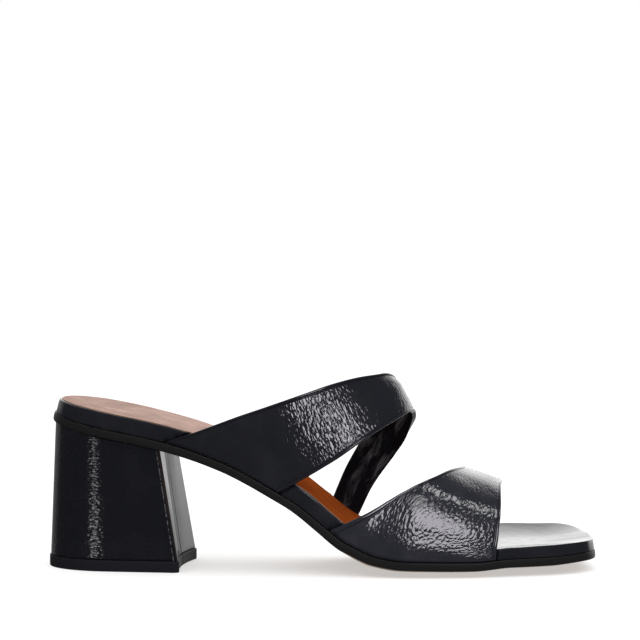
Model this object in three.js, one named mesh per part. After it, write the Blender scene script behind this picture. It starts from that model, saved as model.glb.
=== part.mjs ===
// A block heel sandal for the right foot: two wide diagonal straps over a wrapped footbed.
// Millimetres. +X runs from the heel to the toe, +Y to the inner (medial) side, +Z up.
import * as THREE from 'three';

// Driving sizes of the sole and the last
const footLength = 239.5;
const ballHalfWidth = 40.5;
const heelLift = 65.7;
const edgeLift = { outer: 3.3, inner: 4.1 };
const treadFlatShare = 0.2;
const soleAtHeel = 3.9;
const soleAtBall = 3.7;
const bedHeight = 7.6;
const sockThickness = 1.0;
const instepHeight = 86;

// Driving sizes of the straps
const strapWall = 1.8;
const rimWidth = 1.3;
const rimRise = 0.35;
const rimSlope = 0.4;

// Driving sizes of the heel
const topPieceThickness = 5;
const heelSpread = 48;
const heelReach = 61.5;
const heelTurn = THREE.MathUtils.degToRad(-6);
const breastHollow = { onFloor: 2.4, underSole: 0.8 };
const breastCorner = 2.4;

// Gaps and insets between neighbouring pieces
const gap = 0.3;
const treadChamfer = 0.9;
const wrapFoot = 0.6;
const wrapTop = 2.3;
const toeWrap = { start: 0.8, end: 0.88, share: 0.3 };
const recessInset = 3.05;
const recessRun = 2.4;
const sockInset = 0.35;
const heelInset = 1.3;
const topPieceProud = 0.5;

// The rounded ends of the outline, as shares of the length, and how square they are
const heelRound = { share: 0.125, power: 2.15 };
const toeRound = { share: 0.16, power: 3.4 };

// The centre line: sideways swing as a share of the ball half width, rise of the sole's upper
// face over the ball as a share of the heel lift. The sole is level between 0.68 and 0.76.
const centreLine = [
  { at: 0.0, swing: 0.059, rise: 1.0 },
  { at: 0.04, swing: 0.037, rise: 0.963 },
  { at: 0.08, swing: 0.015, rise: 0.931 },
  { at: 0.17, swing: -0.030, rise: 0.865 },
  { at: 0.25, swing: -0.057, rise: 0.789 },
  { at: 0.33, swing: -0.077, rise: 0.6785 },
  { at: 0.39, swing: -0.086, rise: 0.56 },
  { at: 0.44, swing: -0.091, rise: 0.44 },
  { at: 0.49, swing: -0.089, rise: 0.289 },
  { at: 0.54, swing: -0.089, rise: 0.135 },
  { at: 0.59, swing: -0.081, rise: 0.036 },
  { at: 0.64, swing: -0.067, rise: 0.004 },
  { at: 0.68, swing: -0.049, rise: 0.0 },
  { at: 0.76, swing: 0.002, rise: 0.0 },
  { at: 0.83, swing: 0.057, rise: 0.021 },
  { at: 0.9, swing: 0.113, rise: 0.024 },
  { at: 1.0, swing: 0.2, rise: 0.079 },
];

// Height of the sock's upper face, and of the toe of the footbed, over the outsole: shares of the
// bed height
const bedTop = [
  { at: 0.0, share: 0.855 },
  { at: 0.05, share: 0.96 },
  { at: 0.08, share: 0.99 },
  { at: 0.17, share: 0.99 },
  { at: 0.25, share: 1.0 },
  { at: 0.44, share: 1.0 },
  { at: 0.5, share: 0.945 },
  { at: 0.55, share: 0.945 },
  { at: 0.74, share: 0.71 },
  { at: 0.84, share: 0.67 },
  { at: 0.9, share: 0.69 },
  { at: 1.0, share: 0.63 },
];

// Half widths of the outline on each side of the centre line, shares of the ball half width
const outline = [
  { at: 0.0, outer: 0.66, inner: 0.66 },
  { at: 0.12, outer: 0.68, inner: 0.67 },
  { at: 0.22, outer: 0.67, inner: 0.64 },
  { at: 0.34, outer: 0.68, inner: 0.62 },
  { at: 0.45, outer: 0.74, inner: 0.66 },
  { at: 0.56, outer: 0.87, inner: 0.8 },
  { at: 0.66, outer: 0.97, inner: 0.96 },
  { at: 0.74, outer: 0.98, inner: 1.01 },
  { at: 0.84, outer: 0.91, inner: 0.965 },
  { at: 0.93, outer: 0.84, inner: 0.87 },
  { at: 1.0, outer: 0.8, inner: 0.96 },
];

// The last over the sole: height as a share of the instep height, shift of the crest to the
// inner side as a share of the ball half width, and how full the arch of the section is
const lastTop = [
  { at: 0.15, height: 1.07, shift: 0.074, fullness: 2.1 },
  { at: 0.25, height: 1.0, shift: 0.099, fullness: 2.1 },
  { at: 0.35, height: 0.901, shift: 0.123, fullness: 2.15 },
  { at: 0.452, height: 0.809, shift: 0.148, fullness: 2.15 },
  { at: 0.47, height: 0.806, shift: 0.148, fullness: 2.15 },
  { at: 0.49, height: 0.783, shift: 0.148, fullness: 2.15 },
  { at: 0.527, height: 0.747, shift: 0.148, fullness: 2.2 },
  { at: 0.6, height: 0.665, shift: 0.148, fullness: 2.3 },
  { at: 0.68, height: 0.585, shift: 0.136, fullness: 2.4 },
  { at: 0.73, height: 0.523, shift: 0.136, fullness: 2.4 },
  { at: 0.771, height: 0.467, shift: 0.123, fullness: 2.45 },
  { at: 0.835, height: 0.391, shift: 0.111, fullness: 2.5 },
  { at: 0.907, height: 0.319, shift: 0.099, fullness: 2.5 },
];

// Straps: girth runs over the last from the outer root (0) to the inner root (1). The edges give
// the stations of the rear and front edges at a girth. The cross lines run straight from a girth
// on the rear edge to one on the front edge, square to the run of the strap where they can.
const instepStrap = {
  edges: [
    { girth: 0.0, rear: 0.22, front: 0.423 },
    { girth: 0.03, rear: 0.266, front: 0.435 },
    { girth: 0.07, rear: 0.308, front: 0.448 },
    { girth: 0.12, rear: 0.346, front: 0.461 },
    { girth: 0.18, rear: 0.376, front: 0.473 },
    { girth: 0.25, rear: 0.401, front: 0.487 },
    { girth: 0.32, rear: 0.421, front: 0.501 },
    { girth: 0.4, rear: 0.44, front: 0.513 },
    { girth: 0.45, rear: 0.448, front: 0.519 },
    { girth: 0.5, rear: 0.456, front: 0.526 },
    { girth: 0.55, rear: 0.463, front: 0.537 },
    { girth: 0.6, rear: 0.468, front: 0.545 },
    { girth: 0.7, rear: 0.472, front: 0.549 },
    { girth: 0.8, rear: 0.477, front: 0.542 },
    { girth: 0.9, rear: 0.484, front: 0.538 },
    { girth: 1.0, rear: 0.5, front: 0.546 },
  ],
  crossLines: [
    { along: 0.0, rear: 0.0, front: 0.0 },
    { along: 0.08, rear: 0.12, front: 0.035 },
    { along: 0.22, rear: 0.26, front: 0.17 },
    { along: 0.5, rear: 0.51, front: 0.47 },
    { along: 0.75, rear: 0.755, front: 0.74 },
    { along: 1.0, rear: 1.0, front: 1.0 },
  ],
};
const toeStrap = {
  edges: [
    { girth: 0.0, rear: 0.511, front: 0.8 },
    { girth: 0.03, rear: 0.525, front: 0.803 },
    { girth: 0.07, rear: 0.544, front: 0.807 },
    { girth: 0.1, rear: 0.557, front: 0.809 },
    { girth: 0.12, rear: 0.566, front: 0.811 },
    { girth: 0.15, rear: 0.584, front: 0.814 },
    { girth: 0.18, rear: 0.613, front: 0.816 },
    { girth: 0.22, rear: 0.657, front: 0.819 },
    { girth: 0.25, rear: 0.683, front: 0.821 },
    { girth: 0.28, rear: 0.701, front: 0.823 },
    { girth: 0.32, rear: 0.719, front: 0.826 },
    { girth: 0.4, rear: 0.746, front: 0.833 },
    { girth: 0.5, rear: 0.768, front: 0.844 },
    { girth: 0.6, rear: 0.776, front: 0.849 },
    { girth: 0.75, rear: 0.77, front: 0.848 },
    { girth: 0.9, rear: 0.744, front: 0.837 },
    { girth: 1.0, rear: 0.72, front: 0.829 },
  ],
  crossLines: [
    { along: 0.0, rear: 0.0, front: 0.0 },
    { along: 0.08, rear: 0.12, front: 0.02 },
    { along: 0.15, rear: 0.21, front: 0.06 },
    { along: 0.24, rear: 0.3, front: 0.14 },
    { along: 0.34, rear: 0.39, front: 0.26 },
    { along: 0.48, rear: 0.5, front: 0.44 },
    { along: 0.78, rear: 0.785, front: 0.77 },
    { along: 1.0, rear: 1.0, front: 1.0 },
  ],
};

// Smooth curve through one column of a table, with no overshoot between its rows
function smooth(rows, key, column, x) {
  let i = 0;
  while (i < rows.length - 2 && x > rows[i + 1][key]) i += 1;
  const step = (k) => rows[k + 1][key] - rows[k][key];
  const slope = (k) => (rows[k + 1][column] - rows[k][column]) / step(k);
  const tangent = (k) => {
    if (k === 0) return slope(0);
    if (k === rows.length - 1) return slope(k - 1);
    const before = slope(k - 1);
    const after = slope(k);
    if (before * after <= 0) return 0;
    const weightBefore = 2 * step(k) + step(k - 1);
    const weightAfter = step(k) + 2 * step(k - 1);
    return (weightBefore + weightAfter) / (weightBefore / before + weightAfter / after);
  };
  const t = (x - rows[i][key]) / step(i);
  const ease = t * t * (3 - 2 * t);
  const lean = tangent(i) * (t * (1 - t) * (1 - t)) - tangent(i + 1) * (t * t * (1 - t));
  return rows[i][column] + (rows[i + 1][column] - rows[i][column]) * ease + lean * step(i);
}

function blend(from, to, x) {
  return THREE.MathUtils.smoothstep(x, from, to);
}

// Half of a rounded end: 0 at the tip, 1 where the straight side starts
function roundedEnd(share, power) {
  const t = THREE.MathUtils.clamp(share, 0, 1);
  return (1 - (1 - t) ** power) ** (1 / power);
}

// The sole's upper face: centre line and the directions across and up at a station
function soleThickness(at) {
  return soleAtHeel + (soleAtBall - soleAtHeel) * blend(0.2, 0.4, at);
}

function sockTop(at) {
  return smooth(bedTop, 'at', 'share', at) * bedHeight;
}

// The footbed lies under the sock up to the sock's end and comes up level with it at the toe
function bedThickness(at) {
  const room = (sockThickness + gap) * (1 - blend(sockEnd + 0.002, sockEnd + 0.022, at));
  return sockTop(at) - room;
}

function centre(at) {
  const y = smooth(centreLine, 'at', 'swing', at) * ballHalfWidth;
  const z = smooth(centreLine, 'at', 'rise', at) * heelLift + soleAtBall;
  return new THREE.Vector3(at * footLength, y, z);
}

function directions(at) {
  const reach = 1e-4;
  const along = centre(at + reach).sub(centre(at - reach)).normalize();
  const across = new THREE.Vector3(-along.y, along.x, 0).normalize();
  return { across, up: along.clone().cross(across) };
}

function tableHalfWidth(at, column) {
  return smooth(outline, 'at', column, at) * ballHalfWidth;
}

// Both edges of the forefoot stand a little over the flat of the tread
function liftOfEdge(at, offset) {
  const widest = Math.max(tableHalfWidth(at, 'outer'), tableHalfWidth(at, 'inner'));
  const past = (Math.abs(offset) / widest - treadFlatShare) / (1 - treadFlatShare);
  const outward = THREE.MathUtils.clamp(past, 0, 1.05);
  return edgeLift[offset < 0 ? 'outer' : 'inner'] * blend(0.34, 0.62, at) * outward * outward;
}

// A point given by station, offset across (inner side positive) and height over the upper face
function foot(at, offset, height) {
  const { across, up } = directions(at);
  const rise = height + liftOfEdge(at, offset);
  return centre(at).addScaledVector(across, offset).addScaledVector(up, rise);
}

// The outline moved inwards by an inset: its station and its half width on one side
function insetStation(at, inset) {
  const shift = inset / footLength;
  const atHeel = shift * Math.max(0, 1 - at / heelRound.share);
  const atToe = shift * Math.max(0, 1 - (1 - at) / toeRound.share);
  return at + atHeel - atToe;
}

function halfWidth(at, column, inset) {
  const ends = roundedEnd(at / heelRound.share, heelRound.power)
    * roundedEnd((1 - at) / toeRound.share, toeRound.power);
  return (tableHalfWidth(insetStation(at, inset), column) - inset) * ends;
}

// Stations between key places, closer together at the rounded ends
function stations(keys, step) {
  const list = [keys[0]];
  for (let i = 1; i < keys.length; i += 1) {
    const count = Math.max(1, Math.ceil((keys[i] - keys[i - 1]) / step));
    for (let k = 1; k <= count; k += 1) list.push(keys[i - 1] + ((keys[i] - keys[i - 1]) * k) / count);
  }
  return list;
}

function roundedStations(share, count) {
  return Array.from({ length: count }, (_, k) => share * (1 - Math.cos((Math.PI / 2) * (k / count))));
}

// A closed body from layers of one grid: the first layer is its under face, the last its upper
// face, and walls join the rims of the layers in between
function slab(rows, columns, layers, pointAt) {
  const points = [];
  for (let layer = 0; layer < layers; layer += 1) {
    for (let row = 0; row < rows; row += 1) {
      for (let column = 0; column < columns; column += 1) points.push(pointAt(row, column, layer));
    }
  }
  const index = (row, column, layer) => (layer * rows + row) * columns + column;
  const corners = [];
  const same = (a, b) => points[a].distanceTo(points[b]) < 2e-3;
  const triangle = (a, b, c) => {
    if (same(a, b) || same(b, c) || same(c, a)) return;
    corners.push(points[a], points[b], points[c]);
  };
  const quad = (a, b, c, d) => {
    if (points[a].distanceTo(points[c]) <= points[b].distanceTo(points[d])) {
      triangle(a, b, c);
      triangle(a, c, d);
    } else {
      triangle(a, b, d);
      triangle(b, c, d);
    }
  };
  const upper = layers - 1;
  for (let row = 0; row < rows - 1; row += 1) {
    for (let column = 0; column < columns - 1; column += 1) {
      const at = (r, c, layer) => index(row + r, column + c, layer);
      quad(at(0, 0, upper), at(1, 0, upper), at(1, 1, upper), at(0, 1, upper));
      quad(at(0, 0, 0), at(0, 1, 0), at(1, 1, 0), at(1, 0, 0));
    }
  }
  const rim = [];
  for (let row = 0; row < rows - 1; row += 1) rim.push([row, 0]);
  for (let column = 0; column < columns - 1; column += 1) rim.push([rows - 1, column]);
  for (let row = rows - 1; row > 0; row -= 1) rim.push([row, columns - 1]);
  for (let column = columns - 1; column > 0; column -= 1) rim.push([0, column]);
  for (let layer = 0; layer < upper; layer += 1) {
    rim.forEach(([row, column], k) => {
      const [nextRow, nextColumn] = rim[(k + 1) % rim.length];
      quad(
        index(row, column, layer),
        index(nextRow, nextColumn, layer),
        index(nextRow, nextColumn, layer + 1),
        index(row, column, layer + 1),
      );
    });
  }
  const geometry = new THREE.BufferGeometry().setFromPoints(corners);
  geometry.computeVertexNormals();
  return geometry;
}

// A flat piece of the sole: rims give inset and height of each layer, columns are shares of the
// half width from the outer side (-1) to the inner side (1)
const soleColumns = [-1, -0.8, -0.6, -0.4, -treadFlatShare, treadFlatShare, 0.4, 0.6, 0.8, 1];

function soleSlab(places, rims) {
  return slab(places.length, soleColumns.length, rims.length, (row, column, layer) => {
    const share = soleColumns[column];
    const side = share < 0 ? 'outer' : 'inner';
    const at = places[row];
    const inset = rims[layer].inset(at, side);
    const offset = share * halfWidth(at, side, inset);
    const station = insetStation(at, inset);
    return foot(station, offset, rims[layer].height(station));
  });
}

// Where the strap roots lie against the footbed, with the places where a recess starts and ends
const sockEnd = 0.75;
const topOfBedGirth = 0.024;
const rootReach = 0.6 / footLength;

function rootSpan({ edges }, side) {
  const root = side === 'outer' ? 0 : 1;
  const nearRoot = side === 'outer' ? topOfBedGirth : 1 - topOfBedGirth;
  const rears = [root, nearRoot].map((girth) => smooth(edges, 'girth', 'rear', girth));
  const fronts = [root, nearRoot].map((girth) => smooth(edges, 'girth', 'front', girth));
  return { start: Math.min(...rears) - rootReach, end: Math.max(...fronts) + rootReach };
}

const recesses = {
  outer: [rootSpan(instepStrap, 'outer'), rootSpan(toeStrap, 'outer')],
  inner: [rootSpan(instepStrap, 'inner'), rootSpan(toeStrap, 'inner')],
};

function recess(at, side) {
  const run = recessRun / footLength;
  const covers = recesses[side].map(({ start, end }) => (
    blend(start - run, start, at) * (1 - blend(end, end + run, at))
  ));
  return Math.max(...covers);
}

// An inset of the footbed's edge: smaller at the toe and deeper at the strap roots
function recessed(inset, deep) {
  return (at, side) => {
    const plain = inset * (1 - (1 - toeWrap.share) * blend(toeWrap.start, toeWrap.end, at));
    return plain + Math.max(0, deep - plain) * recess(at, side);
  };
}

function recessKeys(until) {
  const run = recessRun / footLength;
  const places = [...recesses.outer, ...recesses.inner]
    .flatMap(({ start, end }) => [start - run, start, end, end + run]);
  return places.filter((at) => at > heelRound.share && at < until);
}

function sortedPlaces(list, closest) {
  const sorted = [...list].sort((a, b) => a - b);
  return sorted.filter((at, k) => k === 0 || at - sorted[k - 1] > closest);
}

const heelPlaces = roundedStations(heelRound.share, 9);
const toePlaces = roundedStations(toeRound.share, 11).map((at) => 1 - at).reverse();

function makeOutsole() {
  const middle = stations([heelRound.share, 0.3, 0.68, 0.76, 1 - toeRound.share], 0.024);
  const places = [...heelPlaces, ...middle.slice(0, -1), 1 - toeRound.share, ...toePlaces];
  return soleSlab(places, [
    { inset: () => 0.7, height: (at) => -soleThickness(at) },
    { inset: () => 0.1, height: (at) => treadChamfer - soleThickness(at) },
    { inset: () => 0, height: () => -gap / 2 },
  ]);
}

function makeFootbed() {
  const step = 0.03;
  const keys = [heelRound.share, ...recessKeys(1 - toeRound.share), sockEnd, sockEnd + 0.024];
  const middle = stations([...sortedPlaces([...keys, 1 - toeRound.share], 0.0035)], step);
  const places = [...heelPlaces, ...middle, ...toePlaces];
  const height = (at, below) => bedThickness(at) - below;
  return soleSlab(places, [
    { inset: recessed(wrapFoot, recessInset), height: () => gap / 2 },
    { inset: recessed(wrapFoot + 0.2, recessInset), height: (at) => height(at, 2) },
    { inset: recessed(wrapFoot + 0.55, recessInset), height: (at) => height(at, 0.6) },
    { inset: recessed(wrapTop, recessInset + 0.75), height: (at) => height(at, 0) },
  ]);
}

function makeSock() {
  const middle = stations(sortedPlaces([heelRound.share, ...recessKeys(sockEnd), sockEnd], 0.0035), 0.035);
  const places = [...heelPlaces, ...middle];
  const deep = recessInset + 0.4;
  return soleSlab(places, [
    { inset: recessed(wrapTop + sockInset, deep), height: (at) => sockTop(at) - sockThickness },
    { inset: recessed(wrapTop + sockInset + 0.15, deep + 0.15), height: sockTop },
  ]);
}

// A point of the straps' outer face on the last, whose sections lean with the evened slope
const rootInset = 0.65;
const evenedReach = 0.1;

function lastUp(at, across) {
  const low = centre(Math.max(0, at - evenedReach));
  const along = centre(Math.min(1, at + evenedReach)).sub(low);
  return along.addScaledVector(across, -along.dot(across)).normalize().cross(across);
}

function onLast(at, girth) {
  const angle = Math.PI * girth;
  const level = -Math.cos(angle);
  const raised = Math.max(0, Math.sin(angle));
  const side = level < 0 ? 'outer' : 'inner';
  const power = 2 / smooth(lastTop, 'at', 'fullness', at);
  const width = halfWidth(at, side, rootInset) * Math.sign(level) * Math.abs(level) ** power;
  const shift = smooth(lastTop, 'at', 'shift', at) * ballHalfWidth * raised * raised;
  const height = smooth(lastTop, 'at', 'height', at) * instepHeight;
  const { across } = directions(at);
  const rise = gap + (height - gap) * raised ** power + liftOfEdge(at, width);
  return centre(at).addScaledVector(across, width + shift).addScaledVector(lastUp(at, across), rise);
}

function lastNormal(at, girth) {
  const reach = 2e-3;
  const along = onLast(at + reach, girth).sub(onLast(at - reach, girth));
  const low = Math.max(0, girth - reach);
  const high = Math.min(1, girth + reach);
  const round = onLast(at, high).sub(onLast(at, low));
  return along.cross(round).normalize();
}

// A strap is a thin wall over the last with a raised rim along both edges
function makeStrap({ edges, crossLines }, crossCount, innerColumns) {
  const edge = (along, side) => {
    const girth = smooth(crossLines, 'along', side, along);
    return { at: smooth(edges, 'girth', side, girth), girth };
  };
  const edgePoint = (along, side) => {
    const { at, girth } = edge(THREE.MathUtils.clamp(along, 0, 1), side);
    return onLast(at, girth);
  };
  // The share of a cross line that the rim takes, longer where the line is slanted to the edge
  const rimShare = (along, side) => {
    const run = edgePoint(along + 0.01, side).sub(edgePoint(along - 0.01, side)).normalize();
    const across = edgePoint(along, 'front').sub(edgePoint(along, 'rear'));
    const width = across.length();
    const square = Math.max(0.45, run.cross(across.normalize()).length());
    return rimWidth / square / width;
  };
  const sections = Array.from({ length: crossCount + 1 }, (_, k) => {
    const along = k / crossCount;
    const rear = edge(along, 'rear');
    const front = edge(along, 'front');
    const rearRim = rimShare(along, 'rear');
    const frontRim = rimShare(along, 'front');
    const slope = 1 + rimSlope / rimWidth;
    const inner = Array.from({ length: innerColumns - 1 }, (__, i) => {
      const t = (i + 1) / innerColumns;
      return { share: rearRim * slope * (1 - t) + (1 - frontRim * slope) * t, rise: 0 };
    });
    const columns = [
      { share: 0, rise: rimRise },
      { share: rearRim, rise: rimRise },
      { share: rearRim * slope, rise: 0 },
      ...inner,
      { share: 1 - frontRim * slope, rise: 0 },
      { share: 1 - frontRim, rise: rimRise },
      { share: 1, rise: rimRise },
    ];
    return columns.map(({ share, rise }) => ({
      at: rear.at + (front.at - rear.at) * share,
      girth: rear.girth + (front.girth - rear.girth) * share,
      rise,
    }));
  });
  const columnCount = sections[0].length;
  return slab(sections.length, columnCount, 2, (row, column, layer) => {
    const { at, girth, rise } = sections[row][columnCount - 1 - column];
    const depth = layer === 0 ? -strapWall : rise;
    return onLast(at, girth).addScaledVector(lastNormal(at, girth), depth);
  });
}

// The heel: a D shaped plan with a hollow breast, its top cut to the sole's under face
const heelRows = [...roundedStations(0.5, 8), 0.5, 0.62, 0.74, 0.85, 0.93, 0.955, 0.98, 1];
const heelColumns = [-1, -0.8, -0.5, -0.2, 0.2, 0.5, 0.8, 1];
const heelTop = { rear: 0.006, outerFront: 0.213, innerFront: 0.219 };
const heelFloorRear = new THREE.Vector2(-2.2, 3.4);

function heelPlan(along, across, reach, halfSpread, breast) {
  const cornerShare = breastCorner / reach;
  const cut = THREE.MathUtils.clamp((1 - along) / cornerShare, 0, 1);
  const corner = breastCorner * (1 - Math.sqrt(1 - (1 - cut) ** 2));
  const width = halfSpread * roundedEnd(along / 0.5, heelRound.power) - corner;
  const hollow = breast * (1 - across * across) * along ** 3;
  return { along: along * reach - hollow, across: across * width };
}

function heelOnFloor(along, across, level, proud) {
  const halfSpread = heelSpread / 2 + proud;
  const plan = heelPlan(along, across, heelReach + 2 * proud, halfSpread, breastHollow.onFloor);
  const cos = Math.cos(heelTurn);
  const sin = Math.sin(heelTurn);
  const x = heelFloorRear.x + (plan.along - proud) * cos - plan.across * sin;
  const y = heelFloorRear.y + (plan.along - proud) * sin + plan.across * cos;
  return new THREE.Vector3(x, y, level);
}

function heelUnderSole(along, across) {
  const front = THREE.MathUtils.lerp(heelTop.outerFront, heelTop.innerFront, (across + 1) / 2);
  const reach = (front - heelTop.rear) * footLength;
  const hollow = breastHollow.underSole;
  const at = heelTop.rear + heelPlan(along, across, reach, 1, hollow).along / footLength;
  const side = across < 0 ? 'outer' : 'inner';
  const spread = tableHalfWidth(at, side) - heelInset;
  const plan = heelPlan(along, across, reach, spread, hollow);
  return foot(at, plan.across, -soleThickness(at) - gap);
}

function makeHeelBlock() {
  const levels = [0, 0.06, 0.35, 0.7, 1];
  return slab(heelRows.length, heelColumns.length, levels.length, (row, column, layer) => {
    const low = heelOnFloor(heelRows[row], heelColumns[column], topPieceThickness + gap, 0);
    const high = heelUnderSole(heelRows[row], heelColumns[column]);
    return low.lerp(high, levels[layer]);
  });
}

function makeTopPiece() {
  const levels = [
    { height: 0, proud: topPieceProud },
    { height: topPieceThickness - 0.6, proud: topPieceProud * 0.6 },
    { height: topPieceThickness, proud: 0 },
  ];
  return slab(heelRows.length, heelColumns.length, levels.length, (row, column, layer) => {
    const { height, proud } = levels[layer];
    return heelOnFloor(heelRows[row], heelColumns[column], height, proud);
  });
}

function makePiece(name, geometry, look) {
  const piece = new THREE.Mesh(geometry, new THREE.MeshStandardMaterial(look));
  piece.name = name;
  return piece;
}

const blackPatent = { color: 0x1c1d23, roughness: 0.16, metalness: 0 };
const group = new THREE.Group();
group.add(
  makePiece('outsole', makeOutsole(), { color: 0x272626, roughness: 0.6, metalness: 0 }),
  makePiece('footbed', makeFootbed(), blackPatent),
  makePiece('sock', makeSock(), { color: 0x97604a, roughness: 0.35, metalness: 0 }),
  makePiece('instep_strap', makeStrap(instepStrap, 42, 5), blackPatent),
  makePiece('toe_strap', makeStrap(toeStrap, 40, 7), blackPatent),
  makePiece('heel_block', makeHeelBlock(), blackPatent),
  makePiece('top_piece', makeTopPiece(), { color: 0x24242c, roughness: 0.7, metalness: 0 }),
);

// The origin is under the middle of the whole sandal, on the floor
const box = new THREE.Box3().setFromObject(group);
group.position.set(-(box.min.x + box.max.x) / 2, -(box.min.y + box.max.y) / 2, 0);

export default group;
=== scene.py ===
import math

import bmesh
import bpy
import numpy as np
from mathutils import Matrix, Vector


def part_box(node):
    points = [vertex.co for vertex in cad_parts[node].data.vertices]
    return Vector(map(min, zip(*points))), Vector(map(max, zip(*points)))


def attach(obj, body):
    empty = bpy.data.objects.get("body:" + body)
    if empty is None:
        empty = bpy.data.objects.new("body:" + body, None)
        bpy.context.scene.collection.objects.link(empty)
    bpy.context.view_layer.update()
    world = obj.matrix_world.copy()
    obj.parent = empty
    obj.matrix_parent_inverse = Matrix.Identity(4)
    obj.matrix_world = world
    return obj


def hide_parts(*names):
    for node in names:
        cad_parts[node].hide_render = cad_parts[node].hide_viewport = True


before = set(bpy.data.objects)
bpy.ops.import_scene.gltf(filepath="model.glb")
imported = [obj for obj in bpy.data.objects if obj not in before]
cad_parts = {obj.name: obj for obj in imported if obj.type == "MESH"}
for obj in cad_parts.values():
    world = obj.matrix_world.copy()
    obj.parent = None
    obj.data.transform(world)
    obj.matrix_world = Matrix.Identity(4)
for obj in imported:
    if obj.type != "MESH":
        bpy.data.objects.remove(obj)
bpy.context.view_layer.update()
print("frame loaded:", sorted(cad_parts))

# Shapes are worked out in the shoe's own millimetres, from the heel's back, and go into the frame in metres
mm = 0.001

# Driving sizes of the sole and the last, the same as the frame's, in millimetres. What starts or ends
# at a station, and the ends' shares, are shares of the length.
shoe = {
    "length": 239.5,
    "ballHalfWidth": 40.5,
    "heelLift": 65.7,
    "edgeLiftOuter": 3.3,
    "edgeLiftInner": 4.1,
    "treadFlatShare": 0.2,
    "liftLimit": 1.05,
    "liftStart": 0.34,
    "liftEnd": 0.62,
    "soleAtHeel": 3.9,
    "soleAtBall": 3.7,
    "thinStart": 0.2,
    "thinEnd": 0.4,
    "bedHeight": 7.6,
    "sockThickness": 1.0,
    "sockEnd": 0.75,
    "instepHeight": 86,
    "gap": 0.3,
    "heelShare": 0.125,
    "heelPower": 2.15,
    "toeShare": 0.16,
    "toePower": 3.4,
}

# The centre line: sideways swing and rise, as shares of the ball half width and the heel lift
centreLine = {
    "at": [0, 0.04, 0.08, 0.17, 0.25, 0.33, 0.39, 0.44, 0.49, 0.54, 0.59, 0.64, 0.68, 0.76, 0.83,
           0.9, 1],
    "swing": [0.059, 0.037, 0.015, -0.03, -0.057, -0.077, -0.086, -0.091, -0.089, -0.089, -0.081,
              -0.067, -0.049, 0.002, 0.057, 0.113, 0.2],
    "rise": [1, 0.963, 0.931, 0.865, 0.789, 0.6785, 0.56, 0.44, 0.289, 0.135, 0.036, 0.004, 0, 0,
             0.021, 0.024, 0.079],
}

# Height of the sock over the outsole, as a share of the bed height
bedTop = {
    "at": [0, 0.05, 0.08, 0.17, 0.25, 0.44, 0.5, 0.55, 0.74, 0.84, 0.9, 1],
    "share": [0.855, 0.96, 0.99, 0.99, 1, 1, 0.945, 0.945, 0.71, 0.67, 0.69, 0.63],
}

# Half widths of the outline on both sides, as shares of the ball half width
outline = {
    "at": [0, 0.12, 0.22, 0.34, 0.45, 0.56, 0.66, 0.74, 0.84, 0.93, 1],
    "outer": [0.66, 0.68, 0.67, 0.68, 0.74, 0.87, 0.97, 0.98, 0.91, 0.84, 0.8],
    "inner": [0.66, 0.67, 0.64, 0.62, 0.66, 0.8, 0.96, 1.01, 0.965, 0.87, 0.96],
}

# The last over the sole: height, inward shift of the crest, fullness of the section's arch
lastTop = {
    "at": [0.15, 0.25, 0.35, 0.452, 0.47, 0.49, 0.527, 0.6, 0.68, 0.73, 0.771, 0.835, 0.907],
    "height": [1.07, 1, 0.901, 0.809, 0.806, 0.783, 0.747, 0.665, 0.585, 0.523, 0.467, 0.391, 0.319],
    "shift": [0.074, 0.099, 0.123, 0.148, 0.148, 0.148, 0.148, 0.148, 0.136, 0.136, 0.123, 0.111, 0.099],
    "fullness": [2.1, 2.1, 2.15, 2.15, 2.15, 2.15, 2.2, 2.3, 2.4, 2.4, 2.45, 2.5, 2.5],
}
last = {"rootInset": 0.65, "evenedReach": 0.1}


# 0 under low, 1 over high, and three t squared less two t cubed between them
def smoothStep(low, high, x):
    t = np.clip((x - low) / (high - low), 0, 1)
    return t * t * (3 - 2 * t)


# A cubic through a table's column. Its slope at a row is the weighted harmonic mean of the slopes on
# both sides, so the curve never leaves the range of its rows.
def curveThrough(table, column, x, key="at"):
    keys, values = np.array(table[key], float), np.array(table[column], float)
    x = np.asarray(x, float)
    step = np.diff(keys)
    slope = np.diff(values) / step
    before, after = slope[:-1], slope[1:]
    weightBefore, weightAfter = 2 * step[1:] + step[:-1], step[1:] + 2 * step[:-1]
    same = before * after > 0
    tangent = np.zeros(len(keys))
    tangent[0], tangent[-1] = slope[0], slope[-1]
    tangent[1:-1][same] = (weightBefore + weightAfter)[same] / (
        weightBefore[same] / before[same] + weightAfter[same] / after[same])
    i = np.clip(np.searchsorted(keys, x) - 1, 0, len(keys) - 2)
    t = (x - keys[i]) / step[i]
    eased = t * t * (3 - 2 * t)
    lean = tangent[i] * t * (1 - t) ** 2 - tangent[i + 1] * t * t * (1 - t)
    return values[i] + (values[i + 1] - values[i]) * eased + lean * step[i]


def unit(v):
    return v / np.maximum(np.linalg.norm(v, axis=-1, keepdims=True), 1e-12)


# Half of a rounded end: 0 at the tip and 1 where the straight side starts
def roundedEnd(share, power):
    t = np.clip(share, 0, 1)
    return (1 - (1 - t) ** power) ** (1 / power)


def centre(at):
    y = curveThrough(centreLine, "swing", at) * shoe["ballHalfWidth"]
    z = curveThrough(centreLine, "rise", at) * shoe["heelLift"] + shoe["soleAtBall"]
    return np.stack([at * shoe["length"], y, z], axis=-1)


# The sole's directions across and up at a station, square to its centre line
def directions(at):
    reach = 1e-4
    along = unit(centre(at + reach) - centre(at - reach))
    across = unit(np.stack([-along[..., 1], along[..., 0], 0 * along[..., 0]], axis=-1))
    return across, np.cross(along, across)


def tableHalfWidth(at, inner):
    outerWidth, innerWidth = (curveThrough(outline, side, at) for side in ("outer", "inner"))
    return np.where(inner, innerWidth, outerWidth) * shoe["ballHalfWidth"]


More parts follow.
